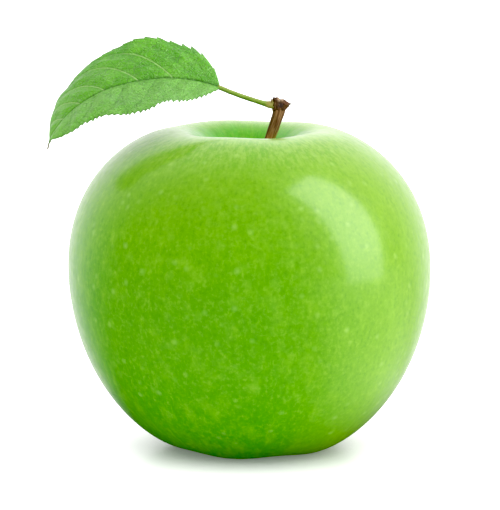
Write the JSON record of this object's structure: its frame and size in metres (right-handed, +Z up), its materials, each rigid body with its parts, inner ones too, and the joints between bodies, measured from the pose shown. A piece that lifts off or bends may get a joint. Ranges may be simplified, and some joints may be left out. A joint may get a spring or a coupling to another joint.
{
  "type": "apple",
  "caption": "Whole green apple standing on its base lobes, with its woody stalk, a torn spur knuckle on top and one toothed leaf; dried flower remains underneath.",
  "frame": {"origin": "middle of the bounding box's base, on the surface that the fruit stands on; the fruit's own axis is 2 mm to +X of it, because the leaf reaches out to -X", "axes": "+Z up along the fruit's core, -Y towards the front, +X to the right with the leaf on the left"},
  "size_m": [0.0842, 0.0802, 0.0905],
  "materials": {
    "skin": "satin",
    "stalk_wood": "matte",
    "knuckle_bark": "matte",
    "bud_scales": "matte",
    "petiole_green": "satin",
    "leaf": "satin",
    "dried_flower": "matte"
  },
  "bodies": {
    "root": {"fruit": "skin", "stalk": "stalk_wood", "spur_knuckle": "knuckle_bark", "axillary_bud": "bud_scales", "leaf_petiole": "petiole_green", "leaf_blade": "leaf", "style_remnant": "dried_flower", "sepal_1": "dried_flower", "sepal_2": "dried_flower", "sepal_3": "dried_flower", "sepal_4": "dried_flower", "sepal_5": "dried_flower", "stamen_1": "dried_flower", "stamen_2": "dried_flower", "stamen_3": "dried_flower", "stamen_4": "dried_flower", "stamen_5": "dried_flower", "stamen_6": "dried_flower", "stamen_7": "dried_flower", "stamen_8": "dried_flower"}
  },
  "joints": []
}
